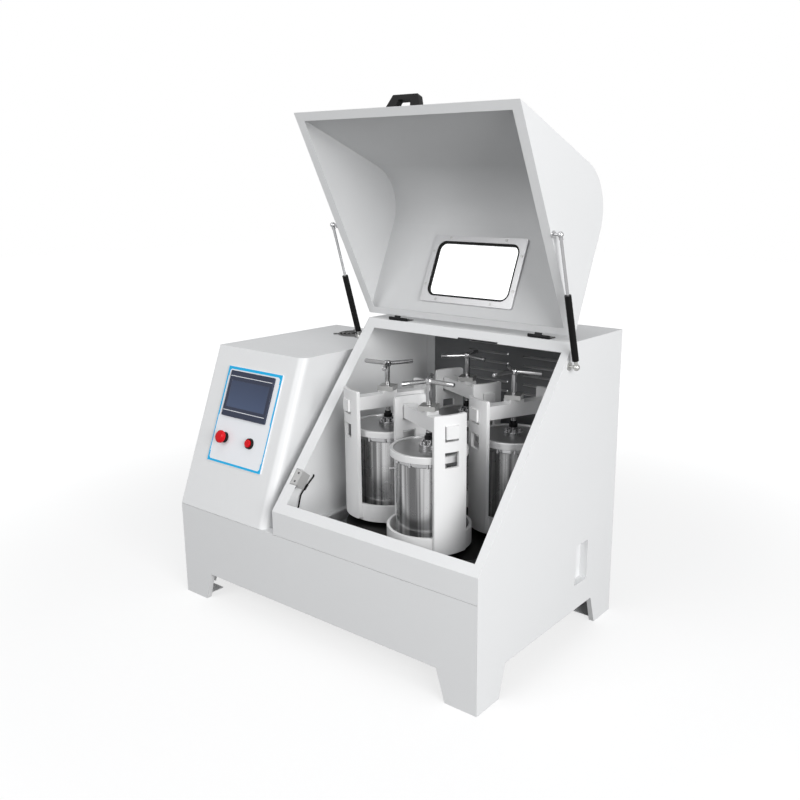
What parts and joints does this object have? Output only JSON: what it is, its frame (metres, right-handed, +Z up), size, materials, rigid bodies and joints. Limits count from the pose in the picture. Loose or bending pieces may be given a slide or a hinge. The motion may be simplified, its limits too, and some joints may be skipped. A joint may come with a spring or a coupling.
{
  "type": "planetary ball mill",
  "caption": "Floor-standing planetary ball mill with a hinged windowed hood, gas struts, clamped jars on a belt-driven turntable and a touch-screen control cabinet.",
  "frame": {"origin": "middle of the footprint, on the floor", "axes": "+Z up, +X from the control cabinet towards the chamber, -Y towards the user; the lid is shown open"},
  "size_m": [1.1814, 0.71, 1.4986],
  "materials": {
    "white_coat": "fine powder coat",
    "black_coat": "satin paint",
    "grey_steel": "zinc grey",
    "polished_steel": "turned and polished",
    "chrome_rod": "hard chrome",
    "black_plastic": "moulded",
    "black_rubber": "extruded",
    "red_plastic": "moulded, shiny",
    "screen_plastic": "glossy bezel and display",
    "panel_plate": "printed film, white with a blue border",
    "clear_pane": "clear",
    "cast_aluminium": "satin"
  },
  "bodies": {
    "machine": {"base_frame": "white_coat", "chamber_shell": "white_coat", "control_cabinet": "white_coat", "deck_plate": "grey_steel", "rear_cover": "grey_steel", "control_plate": "panel_plate", "touch_screen": "screen_plastic", "button_collars": "black_plastic", "fan_guard": "grey_steel", "bearing_housing": "grey_steel", "motor": "cast_aluminium", "drive_belt": "black_rubber", "inverter": "black_plastic", "hinge_base_leaves": "black_plastic", "strut_base_studs": "chrome_rod", "safety_switch": "cast_aluminium", "switch_cable": "black_rubber", "mains_inlet": "black_plastic"},
    "lid": {"lid_shell": "white_coat", "window_frame": "cast_aluminium", "window_pane": "clear_pane", "window_gasket": "black_rubber", "lid_handle": "black_plastic", "hinge_lid_leaves": "black_plastic"},
    "turntable": {"turntable": "black_coat", "drive_shaft": "polished_steel", "planet_bearings": "grey_steel", "planet_belts": "black_rubber"},
    "motor_rotor": {"motor_pulley": "grey_steel"},
    "fan_rotor": {"fan_blades": "black_plastic"},
    "stop_head": {"estop_button": "red_plastic"},
    "start_head": {"start_button": "red_plastic"},
    "strut_tube_left": {"strut_cylinder_left": "black_coat"},
    "strut_tube_right": {"strut_cylinder_right": "black_coat"},
    "strut_piston_left": {"strut_rod_left": "chrome_rod"},
    "strut_piston_right": {"strut_rod_right": "chrome_rod"},
    "jar_1": {"jar_holder_1": "white_coat", "jar_body_1": "polished_steel", "jar_lid_1": "polished_steel", "clamp_beam_1": "white_coat"},
    "clamp_pad_1": {"pressure_pad_1": "grey_steel"},
    "clamp_spindle_1": {"clamp_screw_1": "polished_steel"},
    "jar_2": {"jar_holder_2": "white_coat", "jar_body_2": "polished_steel", "jar_lid_2": "polished_steel", "clamp_beam_2": "white_coat"},
    "clamp_pad_2": {"pressure_pad_2": "grey_steel"},
    "clamp_spindle_2": {"clamp_screw_2": "polished_steel"},
    "jar_3": {"jar_holder_3": "white_coat", "jar_body_3": "polished_steel", "jar_lid_3": "polished_steel", "clamp_beam_3": "white_coat"},
    "clamp_pad_3": {"pressure_pad_3": "grey_steel"},
    "clamp_spindle_3": {"clamp_screw_3": "polished_steel"},
    "jar_4": {"jar_holder_4": "white_coat", "jar_body_4": "polished_steel", "jar_lid_4": "polished_steel", "clamp_beam_4": "white_coat"},
    "clamp_pad_4": {"pressure_pad_4": "grey_steel"},
    "clamp_spindle_4": {"clamp_screw_4": "polished_steel"}
  },
  "joints": [
    {"name": "turntable_spin", "type": "hinge", "parent": "machine", "child": "turntable", "pos_m": [0.20025, 0.002, 0.3], "axis": [0, 0, 1], "continuous": true},
    {"name": "motor_spin", "type": "hinge", "parent": "machine", "child": "motor_rotor", "pos_m": [-0.34075, 0.002, 0.15], "axis": [0, 0, 1], "continuous": true},
    {"name": "fan_spin", "type": "hinge", "parent": "machine", "child": "fan_rotor", "pos_m": [-0.39575, 0.248, 0.765], "axis": [0, 0, 1], "continuous": true},
    {"name": "lid_hinge", "type": "hinge", "parent": "machine", "child": "lid", "pos_m": [0.19725, 0.072, 0.8872], "axis": [1, 0, 0], "range_deg": [0, 113.8]},
    {"name": "strut_left_swing", "type": "hinge", "parent": "machine", "child": "strut_tube_left", "pos_m": [-0.18675, 0.047, 0.822], "axis": [1, 0, 0], "range_deg": [0, 116.08]},
    {"name": "strut_left_slide", "type": "slide", "parent": "strut_tube_left", "child": "strut_piston_left", "axis": [0, -0.2886, 0.9574], "range_m": [-0.11652, 0]},
    {"name": "strut_right_swing", "type": "hinge", "parent": "machine", "child": "strut_tube_right", "pos_m": [0.58125, 0.047, 0.822], "axis": [1, 0, 0], "range_deg": [0, 116.08]},
    {"name": "strut_right_slide", "type": "slide", "parent": "strut_tube_right", "child": "strut_piston_right", "axis": [0, -0.2886, 0.9574], "range_m": [-0.11652, 0]},
    {"name": "stop_press", "type": "slide", "parent": "machine", "child": "stop_head", "axis": [0, 0.9342, -0.3566], "range_m": [0, 0.004], "stiffness_N_per_m": 1500, "springref_m": -0.002},
    {"name": "start_press", "type": "slide", "parent": "machine", "child": "start_head", "axis": [0, 0.9342, -0.3566], "range_m": [0, 0.004], "stiffness_N_per_m": 600, "springref_m": -0.002},
    {"name": "jar_1_spin", "type": "hinge", "parent": "turntable", "child": "jar_1", "pos_m": [0.37634, 0.06784, 0.32], "axis": [0, 0, 1], "continuous": true},
    {"name": "clamp_1_lift", "type": "slide", "parent": "jar_1", "child": "clamp_pad_1", "axis": [0, 0, 1], "range_m": [0, 0.012]},
    {"name": "clamp_1_turn", "type": "hinge", "parent": "clamp_pad_1", "child": "clamp_spindle_1", "pos_m": [0.37634, 0.06784, 0.7], "axis": [0, 0, 1], "range_deg": [0, 1080.1]},
    {"name": "jar_2_spin", "type": "hinge", "parent": "turntable", "child": "jar_2", "pos_m": [0.13441, 0.17809, 0.32], "axis": [0, 0, 1], "continuous": true},
    {"name": "clamp_2_lift", "type": "slide", "parent": "jar_2", "child": "clamp_pad_2", "axis": [0, 0, 1], "range_m": [0, 0.012]},
    {"name": "clamp_2_turn", "type": "hinge", "parent": "clamp_pad_2", "child": "clamp_spindle_2", "pos_m": [0.13441, 0.17809, 0.7], "axis": [0, 0, 1], "range_deg": [0, 1080.1]},
    {"name": "jar_3_spin", "type": "hinge", "parent": "turntable", "child": "jar_3", "pos_m": [0.02416, -0.06384, 0.32], "axis": [0, 0, 1], "continuous": true},
    {"name": "clamp_3_lift", "type": "slide", "parent": "jar_3", "child": "clamp_pad_3", "axis": [0, 0, 1], "range_m": [0, 0.012]},
    {"name": "clamp_3_turn", "type": "hinge", "parent": "clamp_pad_3", "child": "clamp_spindle_3", "pos_m": [0.02416, -0.06384, 0.7], "axis": [0, 0, 1], "range_deg": [0, 1080.1]},
    {"name": "jar_4_spin", "type": "hinge", "parent": "turntable", "child": "jar_4", "pos_m": [0.26609, -0.17409, 0.32], "axis": [0, 0, 1], "continuous": true},
    {"name": "clamp_4_lift", "type": "slide", "parent": "jar_4", "child": "clamp_pad_4", "axis": [0, 0, 1], "range_m": [0, 0.012]},
    {"name": "clamp_4_turn", "type": "hinge", "parent": "clamp_pad_4", "child": "clamp_spindle_4", "pos_m": [0.26609, -0.17409, 0.7], "axis": [0, 0, 1], "range_deg": [0, 1080.1]}
  ],
  "couplings": [
    {"joint": "motor_spin", "follows": "turntable_spin", "ratio": 2.4957},
    {"joint": "strut_left_swing", "follows": "lid_hinge", "ratio": 1.0196},
    {"joint": "strut_left_slide", "follows": "lid_hinge", "m_per_rad": -0.058616},
    {"joint": "strut_right_swing", "follows": "lid_hinge", "ratio": 1.0196},
    {"joint": "strut_right_slide", "follows": "lid_hinge", "m_per_rad": -0.058616},
    {"joint": "jar_1_spin", "follows": "turntable_spin", "ratio": -2},
    {"joint": "clamp_1_turn", "follows": "clamp_1_lift", "rad_per_m": 1570.8},
    {"joint": "jar_2_spin", "follows": "turntable_spin", "ratio": -2},
    {"joint": "clamp_2_turn", "follows": "clamp_2_lift", "rad_per_m": 1570.8},
    {"joint": "jar_3_spin", "follows": "turntable_spin", "ratio": -2},
    {"joint": "clamp_3_turn", "follows": "clamp_3_lift", "rad_per_m": 1570.8},
    {"joint": "jar_4_spin", "follows": "turntable_spin", "ratio": -2},
    {"joint": "clamp_4_turn", "follows": "clamp_4_lift", "rad_per_m": 1570.8}
  ]
}
